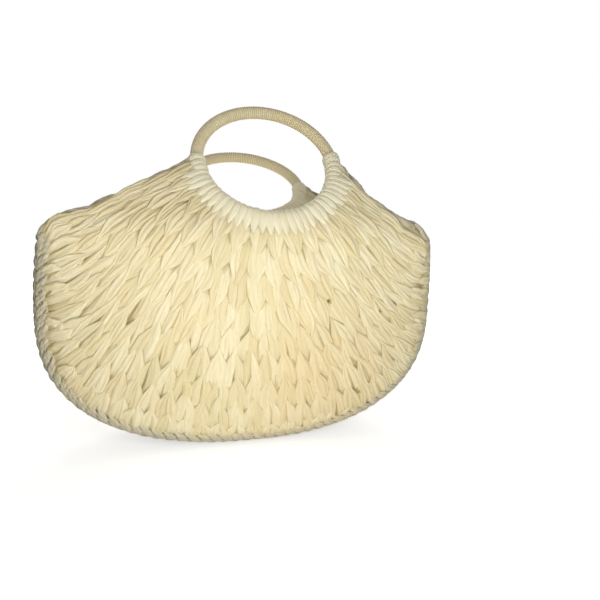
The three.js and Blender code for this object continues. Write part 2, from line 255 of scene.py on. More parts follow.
class Panel:
    """The outer face of the front or back, body and shoulders in one."""

    def __init__(self, side):
        self.side = side
        shares = np.linspace(0, 1, FLOW_LINES)
        lines = self.free_lines(shares)
        for end, hand in ((0, LEFT), (-1, RIGHT)):
            near = np.clip(1 - np.abs(shares - shares[end]) / EDGE_REACH, 0, 1) ** 2
            edge = np.stack(self.edge(hand, np.linspace(0, 1, FLOW_STEPS)), -1)
            lines = lines + near[:, None, None] * (edge - lines[end])
        even = [resample(line, FLOW_STEPS) for line in lines]
        self.lines = np.array([line for line, length in even])
        self.totals = np.array([length for line, length in even])
        self.starts = unit(self.lines[:, 1] - self.lines[:, 0])
        self.ends = unit(self.lines[:, -1] - self.lines[:, -2])

    def free_lines(self, share):
        """Curves that leave the collar square to it and come upright to the seam."""
        u = 2 * share - 1
        reach = 90 - WEAVE_START_ANGLE
        angle = np.radians(270 + reach * u + FAN_TURN * (1 - u**2))
        away = np.stack([np.cos(angle), np.sin(angle)], -1)
        centre = np.array([HOOP_OFFSET[self.side], FOLD_HEIGHT + HOOP_RISE])
        start = centre + WEAVE_START_RADIUS * away
        seam_share = share + (SEAM_SHIFT + SEAM_SPREAD * u) * (1 - u**2)
        end = np.stack(seam_point(seam_share), -1)
        before, after = (seam_point(seam_share + step) for step in (-SLOPE_STEP, SLOPE_STEP))
        slope = np.arctan2(after[1] - before[1], after[0] - before[0])
        steepness = np.clip(np.abs(slope) * 2 / math.pi, 0, 1) ** END_UPRIGHT
        slope = np.sign(slope) * steepness * math.pi / 2
        inward = np.stack([-np.sin(slope), np.cos(slope)], -1)
        span = np.linalg.norm(end - start, axis=-1, keepdims=True)
        knots = [start, start + away * span * START_PULL, end + inward * span * END_PULL, end]
        t = np.linspace(0, 1, FLOW_STEPS)[:, None]
        weights = [(1 - t) ** 3, 3 * t * (1 - t) ** 2, 3 * t**2 * (1 - t), t**3]
        return sum(knot[:, None] * weight for knot, weight in zip(knots, weights))

    def edge(self, hand, out):
        """The shoulder's edge, from the collar at 0 to the ear at 1."""
        offset = HOOP_OFFSET[self.side]
        knots = [(hand * x + follow * offset, FOLD_HEIGHT + up) for x, up, follow in SHOULDER_EDGE]
        knots = np.array(knots)
        lengths = path_lengths(knots)
        at = np.clip(out, 0, 1) * lengths[-1]
        return np.interp(at, lengths, knots[:, 0]), np.interp(at, lengths, knots[:, 1])

    def total(self, share):
        """Length of the line at a share."""
        return np.interp(share, np.linspace(0, 1, FLOW_LINES), self.totals)

    def stitch_width(self, share):
        return lerp(STITCH_WIDTH, SIDE_STITCH_WIDTH, toward_sides(share, *WIDTH_CHANGE))

    def hang(self, share):
        """How far leaves reach past the seam: over it below, and not quite to it at the left."""
        long = rng.uniform(size=share.size) < LONG_LEAVES
        low = np.where(long, OVERHANG, rng.uniform(*SHORT_OVERHANG, share.size))
        high = np.where(share < 0.5, SIDE_HANG[LEFT], SIDE_HANG[RIGHT])
        high = high + rng.normal(0, SIDE_HANG_SPREAD, share.size)
        return lerp(low, high, toward_sides(share, *HANG_CHANGE))

    def side_tilt(self, share):
        """Leaves at the sides overlap like tiles, with their lower edges outside."""
        return np.sign(0.5 - share) * toward_sides(share, *TILT_CHANGE)

    def flat(self, share, down):
        """Lines run on straight before their start and past their end."""
        total = self.total(share)
        point = read_table(self.lines, share, down / total)
        before = np.clip(down, -UNDERHANG, 0)
        after = np.clip(down - total, 0, OVERHANG)
        for directions, run in ((self.starts, before), (self.ends, after)):
            direction = read_table(directions[:, None].repeat(2, 1), share, 0.0)
            point = point + direction * run[..., None]
        return point[..., 0], point[..., 1]

    def sharp(self, x, h):
        """The face with a sharp fold: above the fold line h runs on along the shoulder."""
        depth = self.side * panel_depth(x, np.minimum(h, PANEL_TOP))
        body = np.stack([x, depth, np.minimum(h, FOLD_HEIGHT)], -1)
        up = np.clip(h - FOLD_HEIGHT, 0, None)
        shoulder = handle_point(self.side, x, WEAVE_THICKNESS / 2, up)
        return np.where((h > FOLD_HEIGHT)[..., None], shoulder, body)

    def soft(self, x, h):
        """The face with its fold rounded off."""
        spread = np.linspace(-FOLD_SOFTNESS, FOLD_SOFTNESS, FOLD_SAMPLES)
        return sum(self.sharp(x, h + step) for step in spread) / len(spread)

    def raised(self, x, h, height):
        across = self.soft(x + 1, h) - self.soft(x - 1, h)
        upwards = self.soft(x, h + 1) - self.soft(x, h - 1)
        normal = unit(np.cross(upwards, across))
        normal = normal * np.sign(normal[..., 1:2] * self.side + TINY)
        point = self.soft(x, h) + normal * height[..., None]
        point[..., 2] = np.maximum(point[..., 2], FLOOR_GAP)
        return point


# Length of the gusset's bulging half, over the seam's half depth
GUSSET_LENGTHENING = 1.06


class Gusset:
    """The bulging strip between the seams, from one seam (0) to the strip's middle line."""

    def __init__(self, side):
        self.side = side
        self.half = SEAM_HALF_DEPTH * GUSSET_LENGTHENING

    def total(self, share):
        return np.full_like(share, self.half)

    def flat(self, share, down):
        return share * SEAM_LENGTH, np.clip(down, 0, self.half)

    def place(self, along, out):
        share = np.clip(along / SEAM_LENGTH, 0, 1)
        turn = (1 - out / self.half) * math.pi / 2
        t = np.interp(share * SEAM_LENGTH, SEAM_LENGTHS, SEAM_T)
        hand = np.where(share < 0.5, LEFT, RIGHT)
        x, z = half_outline(t, lerp(GUSSET_BULGE, 0, np.cos(turn)))
        y = self.side * np.sin(turn) * seam_depth(z)
        return np.stack([x * hand, y, z], -1)

    def raised(self, along, out, height):
        forward = self.place(along + 1, out) - self.place(along - 1, out)
        inward = self.place(along, out + 1) - self.place(along, out - 1)
        normal = unit(np.cross(forward, inward))
        point = self.place(along, out)
        middle = np.array([0, 0, WIDEST_HEIGHT])
        normal = normal * np.sign(np.sum(normal * (point - middle), -1, keepdims=True))
        point = point + normal * height[..., None]
        point[..., 2] = np.maximum(point[..., 2], FLOOR_GAP)
        return point


SHEETS = {side: Panel(side) for side in (FRONT, BACK)}


# Meshes. A patch is a set of equal grids of points with a tint for each grid, a value for painted
# shade, which is 1 where a point stands proud of the weave and lower where shade is painted on it,
# down to -1 in gaps, and fibre coordinates in centimetres, which start anywhere within a range.

FIBRE_UNIT = 0.1
FIBRE_RANGE = 90


def patch(points, along, across, tint, unshaded, wrap=False):
    """points is grids x rows x columns x 3; wrap closes each row into a ring."""
    count, rows, columns = points.shape[:3]
    spans = (np.arange(rows - 1), np.arange(columns - (not wrap)))
    row, column = np.meshgrid(*spans, indexing="ij")
    right = (column + 1) % columns
    above, below = row * columns, (row + 1) * columns
    quads = np.stack([above + column, above + right, below + right, below + column], -1)
    grid_starts = np.arange(count)[:, None, None] * rows * columns
    shape = (count, rows, columns)
    offset = rng.uniform(0, FIBRE_RANGE, (count, 1, 1))
    lengthwise = np.broadcast_to(along, shape) * FIBRE_UNIT + offset
    crosswise = np.broadcast_to(across, shape) * FIBRE_UNIT
    return {
        "points": points.reshape(-1, 3),
        "faces": (grid_starts + quads.reshape(-1, 4)).reshape(-1, 4),
        "fibres": np.stack([lengthwise, crosswise], -1).reshape(-1, 2),
        "tint": np.broadcast_to(tint, shape).ravel(),
        "unshaded": np.broadcast_to(unshaded, shape).ravel(),
    }


def make_mesh(name, patches, material):
    points = np.concatenate([part["points"] for part in patches]) * MM
    starts = np.cumsum([0] + [len(part["points"]) for part in patches[:-1]])
    faces = np.concatenate([part["faces"] + start for part, start in zip(patches, starts)])
    mesh = bpy.data.meshes.new(name)
    mesh.from_pydata(points.tolist(), [], faces.tolist())
    mesh.polygons.foreach_set("use_smooth", np.ones(len(faces), bool))
    fibres = np.concatenate([part["fibres"] for part in patches])
    layer = mesh.uv_layers.new(name="UVMap")
    corner_points = np.empty(len(mesh.loops), np.int32)
    mesh.loops.foreach_get("vertex_index", corner_points)
    layer.data.foreach_set("uv", fibres[corner_points].astype(np.float32).ravel())
    for key in ("tint", "unshaded"):
        values = np.concatenate([part[key] for part in patches]).astype(np.float32)
        mesh.attributes.new(key, "FLOAT", "POINT").data.foreach_set("value", values)
    mesh.materials.append(material)
    made = bpy.data.objects.new(name, mesh)
    bpy.context.scene.collection.objects.link(made)
    return made


# Materials

# Husk and cord by slot, as sRGB bytes: pale strands, deep strands, and the painted shade of
# crevices
HUSK_COLOURS = {
    "woven_straw": ((247, 238, 202), (231, 216, 170), (182, 160, 98)),
    # The gusset's husk is greyer and darker than the faces': partly its own colour, partly painted
    # shade of the sides that turn from the light
    "gusset_straw": ((220, 213, 186), (194, 187, 157), (100, 93, 69)),
    "collar_straw": ((254, 249, 220), (252, 244, 210), (208, 194, 150)),
    "edge_straw": ((226, 218, 190), (204, 196, 164), (110, 102, 76)),
    "hoop_cord": ((252, 240, 202), (240, 225, 180), (158, 140, 92)),
}
FIBRE_LOOK = {"streak": 0.65, "bump": 0.75}
CORD_LOOK = {"streak": 0.1, "bump": 0.0}
WARM_COLOUR = (244, 220, 176)
# Near-black painted shade for the gaps between leaves of the front
GAP_SHADE_COLOUR = (38, 31, 20)
ROD_COLOURS = ((150, 118, 76), (184, 150, 102))
ROUGHNESS = 0.6
HUSK_SPECULAR = 0.25
FIBRE_STRETCH = (0.5, 4.0, 1.0)
FIBRE_SCALE, FIBRE_DETAIL = 1.6, 3.0
WARM_SCALE, WARM_DETAIL = 14.0, 1.0
GRAIN_SCALE = 90.0
BUMP_HEIGHT = 0.0016

# A warmer patch low on the right of the front: its colour, and its place in metres
BLUSH_COLOUR = (238, 209, 158)
BLUSH_PLACE = (0.07, -0.055, 0.09)

# How a colour mixes in: two values of what it follows and its share at each of them. It follows
# the distance in metres from the blush, noise, or how proud a point stands, which sets the painted
# shade of crevices and gaps.
BLUSH_MIX = (0.01, 0.1, 0.5, 0)
WARM_MIX = (0.35, 0.75, 0, 0.35)
FIBRE_VALUES = (0.4, 0.75)
CREVICE_SHADE_MIX = (0.0, 0.62, 0.9, 0.0)
GAP_SHADE_MIX = (-1.0, -0.5, 1.0, 0.0)


def linear(*srgb):
    """A colour in sRGB bytes, none of them nearly black, as a linear colour with alpha."""
    return (*(((value / 255 + 0.055) / 1.055) ** 2.4 for value in srgb), 1)


def new_material(name):
    """A material with its nodes, its links and its surface."""
    material = bpy.data.materials.new(name)
    material.use_nodes = True
    tree = material.node_tree
    return material, tree.nodes, tree.links, tree.nodes["Principled BSDF"]


def husk_material(name, pale, deep, crevice_shade, streak, bump):
    material, nodes, links, surface = new_material(name)
    surface.inputs["Roughness"].default_value = ROUGHNESS
    surface.inputs["Specular IOR Level"].default_value = HUSK_SPECULAR

    def attribute(key):
        node = nodes.new("ShaderNodeAttribute")
        node.attribute_name = key
        return node.outputs["Fac"]

    def mix(factor, a, b):
        node = nodes.new("ShaderNodeMix")
        node.data_type = "RGBA"
        for key, value in (("Factor", factor), ("A", a), ("B", b)):
            if isinstance(value, bpy.types.NodeSocket):
                links.new(value, node.inputs[key])
            else:
                node.inputs[key].default_value = value
        return node.outputs["Result"]

    def spread(value, low, high, to_low, to_high):
        """The value's range from low to high as a range from to_low to to_high."""
        node = nodes.new("ShaderNodeMapRange")
        links.new(value, node.inputs["Value"])
        limits = {"From Min": low, "From Max": high, "To Min": to_low, "To Max": to_high}
        for key, number in limits.items():
            node.inputs[key].default_value = number
        return node.outputs["Result"]

    def noise(vector, scale, detail):
        node = nodes.new("ShaderNodeTexNoise")
        node.inputs["Scale"].default_value = scale
        node.inputs["Detail"].default_value = detail
        links.new(vector, node.inputs["Vector"])
        return node.outputs["Fac"]

    places = nodes.new("ShaderNodeTexCoord")
    stretch = nodes.new("ShaderNodeMapping")
    stretch.inputs["Scale"].default_value = FIBRE_STRETCH
    links.new(places.outputs["UV"], stretch.inputs["Vector"])
    fibres = noise(stretch.outputs["Vector"], FIBRE_SCALE, FIBRE_DETAIL)
    warmth = noise(places.outputs["Object"], WARM_SCALE, WARM_DETAIL)
    blush = nodes.new("ShaderNodeVectorMath")
    blush.operation = "DISTANCE"
    blush.inputs[1].default_value = BLUSH_PLACE
    links.new(places.outputs["Object"], blush.inputs[0])
    blushed = spread(blush.outputs["Value"], *BLUSH_MIX)

    colour = mix(attribute("tint"), pale, deep)
    colour = mix(spread(warmth, *WARM_MIX), colour, linear(*WARM_COLOUR))
    colour = mix(blushed, colour, linear(*BLUSH_COLOUR))
    colour = mix(spread(fibres, *FIBRE_VALUES, 0, streak), colour, deep)
    # Painted shade in crevices: the crevice colour where a point stands less proud of the weave
    colour = mix(spread(attribute("unshaded"), *CREVICE_SHADE_MIX), colour, crevice_shade)
    # Painted shade in the gaps between leaves: near-black
    colour = mix(spread(attribute("unshaded"), *GAP_SHADE_MIX), colour, linear(*GAP_SHADE_COLOUR))
    links.new(colour, surface.inputs["Base Color"])

    ridges = nodes.new("ShaderNodeBump")
    ridges.inputs["Strength"].default_value = bump
    ridges.inputs["Distance"].default_value = BUMP_HEIGHT
    links.new(fibres, ridges.inputs["Height"])
    links.new(ridges.outputs["Normal"], surface.inputs["Normal"])
    return material


def wood_material():
    material, nodes, links, surface = new_material("hoop_rod")
    grain = nodes.new("ShaderNodeTexNoise")
    grain.inputs["Scale"].default_value = GRAIN_SCALE
    blend = nodes.new("ShaderNodeMix")
    blend.data_type = "RGBA"
    for key, colour in zip("AB", ROD_COLOURS):
        blend.inputs[key].default_value = linear(*colour)
    links.new(grain.outputs["Fac"], blend.inputs["Factor"])
    surface.inputs["Roughness"].default_value = ROUGHNESS
    links.new(blend.outputs["Result"], surface.inputs["Base Color"])
    return material


husk = {}
for slot, colours in HUSK_COLOURS.items():
    look = CORD_LOOK if slot == "hoop_cord" else FIBRE_LOOK
    husk[slot] = husk_material(slot, *(linear(*colour) for colour in colours), **look)


# Husk leaves. A leaf is laid from its pointed end, which shows, to its other end, which lies under
# the next row. s runs along it from 0 to 1, and c across it from -1 to 1.

LEAF_STEPS, LEAF_COLUMNS = 18, 11
INNER_STEPS, INNER_COLUMNS = 8, 5
STEP_CROWDING = 1.2
SHORTEST_LEAF = 13

# Length, and place of the pointed end in rows below the row's top, with their spreads
LEAF_LENGTH = 1.85 * ROW_HEIGHT
LENGTH_SPREAD = (0.94, 1.08)
DOWN_TIP = 1.15
UP_TIP = -0.5
TIP_SPREAD = 0.08

# Width over half a stitch's width, in the middle and at the sides, and the outline
LEAF_FILL = 1.3
SIDE_LEAF_FILL = 1.52
WIDTH_SPREAD = (0.88, 1.12)
LEAST_HALF_WIDTH = 0.15
TIP_SHARE = 0.36
TIP_POWER = 0.85
TAIL_START = 0.6
TAIL_NARROWING = 0.15
LEAF_SLANT = 0.2

# Sideways bow and wave in millimetres, and the wave's turn in radians
LEAF_BOW = 0.8
LEAF_WAVE = 0.6
WAVE_TURN = 9
PHASES = (0, 6)

# Heights above the sheet at shares of the length, how far the leaves inside stand back from the
# weave's inner face, and the section across
LEAF_PROFILE = [(0, 0.9), (0.15, 1.0), (0.4, 0.4), (0.7, -1.0), (0.85, -1.9), (1, -3.0)]
HEIGHT_SPREAD = 0.3
INNER_INSET = 1
LEAF_CROWN = 2.1
CROWN_SPREAD = (0.8, 1.2)
SECTION_POWER = 2.6
CREASE_SPREAD = 0.3
CRUMPLE = 0.38
CRUMPLE_PACE = (4, 9)
TILT_SPREAD = 0.3

# Painted shade on a leaf: how unshaded its covered end counts, the share that is covered, and the
# power of the shade painted across it towards its edges
COVERED_UNSHADED = 0.3
COVERED_SHARE = 0.5
SHADE_POWER = 0.7

# Points at which a row of stitches is measured
ROW_SAMPLES = 601

# The thin sheet inside a weave: its heights, its tint, and how unshaded it counts, which paints
# part of the crevice shade on it
BACKING_HEIGHTS = (-2.6, -5.6)
GUSSET_BACKING_HEIGHTS = (-4.6, -6)
BACKING_TINT = 0.6
BACKING_UNSHADED = 0.42


def leaf_width(s):
    tail = smooth((s - TAIL_START) / (1 - TAIL_START))
    return np.clip(s / TIP_SHARE, 0, 1) ** TIP_POWER * (1 - TAIL_NARROWING * tail)


def lay_leaves(sheet, tips, tails, width, tint, inner):
    """Leaves from tips to tails, each leaves x (share, down)."""
    count = len(tips)
    steps, columns = (INNER_STEPS, INNER_COLUMNS) if inner else (LEAF_STEPS, LEAF_COLUMNS)
    s = np.linspace(0, 1, steps) ** STEP_CROWDING
    c = np.linspace(-1, 1, columns)
    shape = leaf_width(s)
    past_tip = np.clip((s - TIP_SHARE) / (1 - TIP_SHARE), 0, 1)
    share = tips[:, :1] + (tails[:, :1] - tips[:, :1]) * (0.5 * shape + LEAF_SLANT * past_tip)
    down = tips[:, 1:] + (tails[:, 1:] - tips[:, 1:]) * s
    x, h = sheet.flat(np.clip(share, 0, 1), down)
    along = unit(np.stack([np.gradient(x, axis=1), np.gradient(h, axis=1)], -1))
    half = 0.5 * width * rng.uniform(*WIDTH_SPREAD, (count, 1)) * shape + LEAST_HALF_WIDTH
    bow = rng.normal(0, LEAF_BOW, (count, 1)) * np.sin(s * math.pi)
    wave = rng.normal(0, LEAF_WAVE, (count, 1))
    wave = wave * np.sin(s * WAVE_TURN + rng.uniform(*PHASES, (count, 1)))
    across = half[..., None] * c + (bow + wave)[..., None]
    x = x[..., None] - across * along[..., 1:]
    h = h[..., None] + across * along[..., :1]
    crease = rng.uniform(-CREASE_SPREAD, CREASE_SPREAD, (count, 1, 1))
    section = 1 - np.abs(c - crease * (1 - c**2)) ** SECTION_POWER
    crumple_turn = c * rng.uniform(*CRUMPLE_PACE, (count, 1, 1))
    crumple = CRUMPLE * np.sin(crumple_turn + rng.uniform(*PHASES, (count, 1, 1)))
    crown = (LEAF_CROWN * rng.uniform(*CROWN_SPREAD, (count, 1)) * shape)[..., None]
    upwards = np.sign(tips[:, 1] - tails[:, 1]) * sheet.side_tilt(tips[:, 0])
    tilt = rng.normal(0, TILT_SPREAD, (count, 1, 1)) + upwards[:, None, None]
    profile = np.interp(s, *zip(*LEAF_PROFILE))
    lift = (profile + rng.normal(0, HEIGHT_SPREAD, (count, 1)))[..., None]
    height = lift + crown * (section + crumple) + tilt * c * shape[:, None]
    if inner:
        height = -WEAVE_THICKNESS + INNER_INSET - height
    # Painted shade: darker towards the covered end and the edges of each leaf
    shown = lerp(COVERED_UNSHADED, 1, smooth((1 - s) / COVERED_SHARE))
    unshaded = np.clip(section, 0, 1) ** SHADE_POWER * shown[:, None]
    length = np.abs(tips[:, 1:] - tails[:, 1:])[..., None] * s[:, None]
    return patch(sheet.raised(x, h, height), length, across, tint[:, None, None], unshaded)


def row_marks(sheet, down):
    """Shares of the lines between the stitches of a row, counted from the row's middle."""
    share = np.linspace(0, 1, ROW_SAMPLES)
    points = np.stack(sheet.flat(share, np.full_like(share, down)), -1)
    widths = sheet.stitch_width(share)
    steps = np.linalg.norm(np.diff(points, axis=0), axis=1) * 2 / (widths[1:] + widths[:-1])
    count = np.concatenate([[0], np.cumsum(steps)])
    middle = np.interp(0.5, share, count)
    first, last = math.ceil(-middle - 0.5), math.floor(count[-1] - middle + 0.5)
    return np.interp(middle + np.arange(first, last + 1) - 0.5, count, share)


def stitch_row(sheet, row, inner):
    """One row of V stitches, two leaves each. The upper rows show their pointed ends at the
    bottom and the others at the top. The two rows that meet with them share their columns."""
    up = row >= DOWN_ROWS
    level = DOWN_ROWS if row in (DOWN_ROWS - 1, DOWN_ROWS) else row + 0.5
    edge = row_marks(sheet, level * ROW_HEIGHT)
    centre = (edge[:-1] + edge[1:]) / 2
    outer, inward = np.concatenate([edge[:-1], edge[1:]]), np.concatenate([centre, centre])
    tip_share, tail_share = (outer, inward) if up else (inward, outer)
    count = outer.size
    tip = (row + (UP_TIP if up else DOWN_TIP) + rng.normal(0, TIP_SPREAD, count)) * ROW_HEIGHT
    tail = tip + LEAF_LENGTH * rng.uniform(*LENGTH_SPREAD, count) * (1 if up else -1)
    total = sheet.total(outer)
    reach = total + sheet.hang(outer)
    tip, tail = np.minimum(tip, reach), np.minimum(tail, reach)
    fill = lerp(LEAF_FILL, SIDE_LEAF_FILL, toward_sides(outer, *FILL_CHANGE))
    width = fill * sheet.stitch_width(outer) / 2
    tint = rng.uniform(0, 1, count)
    keep = np.abs(tip - tail) > SHORTEST_LEAF
    keep &= np.minimum(tip, tail) < total - SHORTEST_LEAF
    tips, tails = np.stack([tip_share, tip], -1)[keep], np.stack([tail_share, tail], -1)[keep]
    return lay_leaves(sheet, tips, tails, width[keep][:, None], tint[keep], inner)


def backing(sheet, heights, across, outwards):
    """The outer and inner face of a thin sheet inside the weave, which shows in crevices and
    carries part of the painted crevice shade.
    """
    spans = np.linspace(0, 1, across), np.linspace(0, 1, outwards)
    share, out = np.meshgrid(*spans, indexing="ij")
    x, h = sheet.flat(share, out * sheet.total(share))
    faces = [sheet.raised(x, h, np.full_like(x, height)) for height in heights]
    return patch(np.stack(faces), 0, 0, BACKING_TINT, BACKING_UNSHADED)


# Small gaps between leaves of the front, pushed in and painted with near-black shade: x, height and
# radius
GAPS = [(80, 158, 2.8), (138.5, 146.5, 2.2), (120.5, 54.5, 2.2)]
GAP_DEPTH = 5
GAP_REACH = 12
GAP_STEEPNESS = 3


def open_gap(patches, sheet, x, h, radius):
    """Push in what lies at a gap and paint the gap's near-black shade on it."""
    centre = sheet.sharp(np.array(x), np.array(h))
    for part in patches:
        away = part["points"] - centre
        distance = np.hypot(away[:, 0], away[:, 2])
        near = np.clip(GAP_STEEPNESS * (1 - distance / radius), 0, 1)
        near = near * (np.abs(away[:, 1]) < GAP_REACH)
        part["points"][:, 1] -= sheet.side * GAP_DEPTH * near
        part["unshaded"] = lerp(part["unshaded"], -1, near)


def body_weave(side):
    """Front or back weave, from the collar over the fold down to the seam."""
    sheet = SHEETS[side]
    patches = [backing(sheet, BACKING_HEIGHTS, across=96, outwards=40)]
    for row in range(ROWS):
        for inner in (False, True):
            patches.append(stitch_row(sheet, row, inner))
    if side == FRONT:
        for gap in GAPS:
            open_gap(patches, sheet, *gap)
    name = SIDE_NAME[side]
    made = make_mesh(f"{name}_weave", patches, husk["woven_straw"])
    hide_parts(f"{name}_body_panel", f"{name}_shoulder_panel")
    bend_at_fold(made, side)


# Ropes: gusset twines, seam twines, ear rims and shoulder edges, of two strands each. A make says
# a strand's radius, the radius on which the strands twist and the length of a turn.

GUSSET_TWINE = {"strand_radius": 2.9, "twist_radius": 2.1, "pitch": 23}
SEAM_TWINE = {"strand_radius": 3.0, "twist_radius": 2.2, "pitch": 23}
EAR_ROPE = {"strand_radius": 2.5, "twist_radius": 1.7, "pitch": 24}
SHOULDER_ROPE = {"strand_radius": 3.9, "twist_radius": 2.1, "pitch": 58, "taper": 16}
STRANDS = 2
STRAND_SIDES = 8
STRAND_FLATNESS = 0.8
ROPE_WANDER = 0.03
ROPE_SWELL = 0.1
SWELL_PACE = 1.7
TWINE_STEPS = 700


def sweep(path, normal, radius, tint):
    """A flattened strand along each path; path and normal are strands x steps x 3."""
    tangent = unit(np.gradient(path, axis=1))
    normal = unit(normal - tangent * np.sum(normal * tangent, -1, keepdims=True))
    binormal = np.cross(tangent, normal)
    turn = np.arange(STRAND_SIDES) / STRAND_SIDES * 2 * math.pi
    radius = np.broadcast_to(radius, path.shape[:2])[..., None, None]
    ring = normal[:, :, None] * np.cos(turn)[:, None] * STRAND_FLATNESS
    ring = ring + binormal[:, :, None] * np.sin(turn)[:, None]
    points = path[:, :, None] + ring * radius
    steps = np.linalg.norm(np.diff(path, axis=1), axis=-1)
    along = np.concatenate([np.zeros((len(path), 1)), np.cumsum(steps, 1)], 1)[..., None]
    across = turn * radius.max()
    # Painted shade on the side of each strand that faces the rope's middle, where the strands meet
    unshaded = 0.5 + 0.5 * np.cos(turn)
    return patch(points, along, across, tint, unshaded, wrap=True)


def rope(points, outward, strand_radius, twist_radius, pitch, taper=6):
    """Strands twisted round a path; outward is a direction at each of its points, and taper the
    number of steps over which an end runs thin."""
    count = len(points)
    path, length = resample(points, count)
    tangent = unit(np.gradient(path, axis=0))
    first = unit(outward - tangent * np.sum(outward * tangent, -1, keepdims=True))
    second = np.cross(tangent, first)
    wander = np.cumsum(rng.normal(0, ROPE_WANDER, count))
    turn = np.linspace(0, length / pitch, count) * 2 * math.pi + wander
    from_end = np.minimum(np.arange(count), np.arange(count)[::-1])
    fade = np.clip(from_end / taper, 0, 1) ** 0.5
    paths, normals = [], []
    for strand in range(STRANDS):
        angle = (turn + strand / STRANDS * 2 * math.pi)[:, None]
        normal = first * np.cos(angle) + second * np.sin(angle)
        paths.append(path + normal * twist_radius * fade[:, None])
        normals.append(normal)
    radius = strand_radius * (1 + ROPE_SWELL * np.sin(turn * SWELL_PACE)) * fade
    tint = rng.uniform(0, 1, (STRANDS, 1, 1))
    return sweep(np.stack(paths), np.stack(normals), radius, tint)


# The gusset's twines on each half of the strip, the depth of their middle below its surface and
# their end before the ear, as a share of the seam
TWINE_ROWS = 6
TWINE_SUNK = 4.6
TWINE_END = 0.004


def gusset_weave():
    """The strip round the sides and the bottom: twines side by side, twisted by turns."""
    share = np.linspace(TWINE_END, 1 - TWINE_END, TWINE_STEPS)
    along = share * SEAM_LENGTH
    patches = []
    for side in (FRONT, BACK):
        sheet = Gusset(side)
        patches.append(backing(sheet, GUSSET_BACKING_HEIGHTS, across=160, outwards=9))
        for row in range(TWINE_ROWS):
            out = np.full_like(share, (row + 1) * sheet.half / (TWINE_ROWS + 0.5))
            sunk = sheet.raised(along, out, np.full_like(share, -TWINE_SUNK))
            outward = sheet.raised(along, out, np.zeros_like(share)) - sunk
            twist = (1 if row % 2 else -1) * side
            make = {**GUSSET_TWINE, "pitch": GUSSET_TWINE["pitch"] * twist}
            twine = rope(sunk, outward, **make)
            twine["points"][:, 2] = np.maximum(twine["points"][:, 2], FLOOR_GAP)
            patches.append(twine)
    made = make_mesh("gusset_weave", patches, husk["gusset_straw"])
    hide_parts("base_gusset", "left_gusset", "right_gusset")
    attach(made, "basket")


# The seam twine's middle: behind the face, in from the seam and short of the ear. Outward from it
# is away from the widest height's middle, and so far forward.
SEAM_TWINE_DEPTH = 3.6
SEAM_TWINE_INSET = 3.6
SEAM_TWINE_END = 0.002
SEAM_TWINE_FORWARD = 90


def seam_twine(side):
    """The strand that joins a face to the gusset."""
    share = np.linspace(SEAM_TWINE_END, 1 - SEAM_TWINE_END, TWINE_STEPS)
    x, z = seam_point(share)
    outward = np.stack([x, np.full_like(x, side * SEAM_TWINE_FORWARD), z - WIDEST_HEIGHT], -1)
    points = np.stack([x, side * (seam_depth(z) - SEAM_TWINE_DEPTH), z], -1)
    points -= SEAM_TWINE_INSET * unit(outward * (1, 0, 1))
    twine = rope(points, outward, **SEAM_TWINE)
    made = make_mesh(f"{SIDE_NAME[side]}_seam_twine", [twine], husk["edge_straw"])
    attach(made, "basket")


# The ear rope ends so far before the outer faces, and outward from it is slightly up
EAR_ROPE_INSET = 4
EAR_ROPE_STEPS = 90
EAR_ROPE_UPWARD = 0.3


def ear_rim(hand):
    """The rope along the top of a side gusset."""
    z = PANEL_TOP - EAR_RIM_RADIUS
    half_length = seam_depth(np.array(z)) - EAR_ROPE_INSET
    y = np.linspace(-half_length, half_length, EAR_ROPE_STEPS)
    bow = GUSSET_BULGE - 2 * EAR_RIM_RADIUS
    inner = side_half_width(z, GUSSET_BULGE) + EAR_RIM_RADIUS
    x = inner + bow * np.cos(y / half_length * math.pi / 2)
    points = np.stack([hand * x, y, np.full_like(y, z)], -1)
    outward = np.tile(np.array([hand * 1.0, 0, EAR_ROPE_UPWARD]), (y.size, 1))
    name = HAND_NAME[hand]
    rim = rope(points, outward, **EAR_ROPE)
    made = make_mesh(f"{name}_ear_rim_rope", [rim], husk["edge_straw"])
    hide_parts(f"{name}_ear_rim")
    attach(made, "basket")


# Ends of the shoulder ropes beyond the shoulder's edge: x from the middle and height above the
# fold line, beside the hoop and round the ear. The rope's middle comes to lie outside the edge by
# a shift that grows over so many of its steps.
ROPE_START = (78, 99)
ROPE_END = [(192, -22), (193, -40)]
EDGE_SAMPLES = 60
ROPE_STEPS = 180
ROPE_SMOOTHING = 11
ROPE_SHIFT = 3.2
SHIFT_STEPS = 24


def smoothed(values):
    """A running mean that keeps both ends in place."""
    padded = np.pad(values, ROPE_SMOOTHING // 2, "reflect", reflect_type="odd")
    return np.convolve(padded, np.ones(ROPE_SMOOTHING) / ROPE_SMOOTHING, "valid")


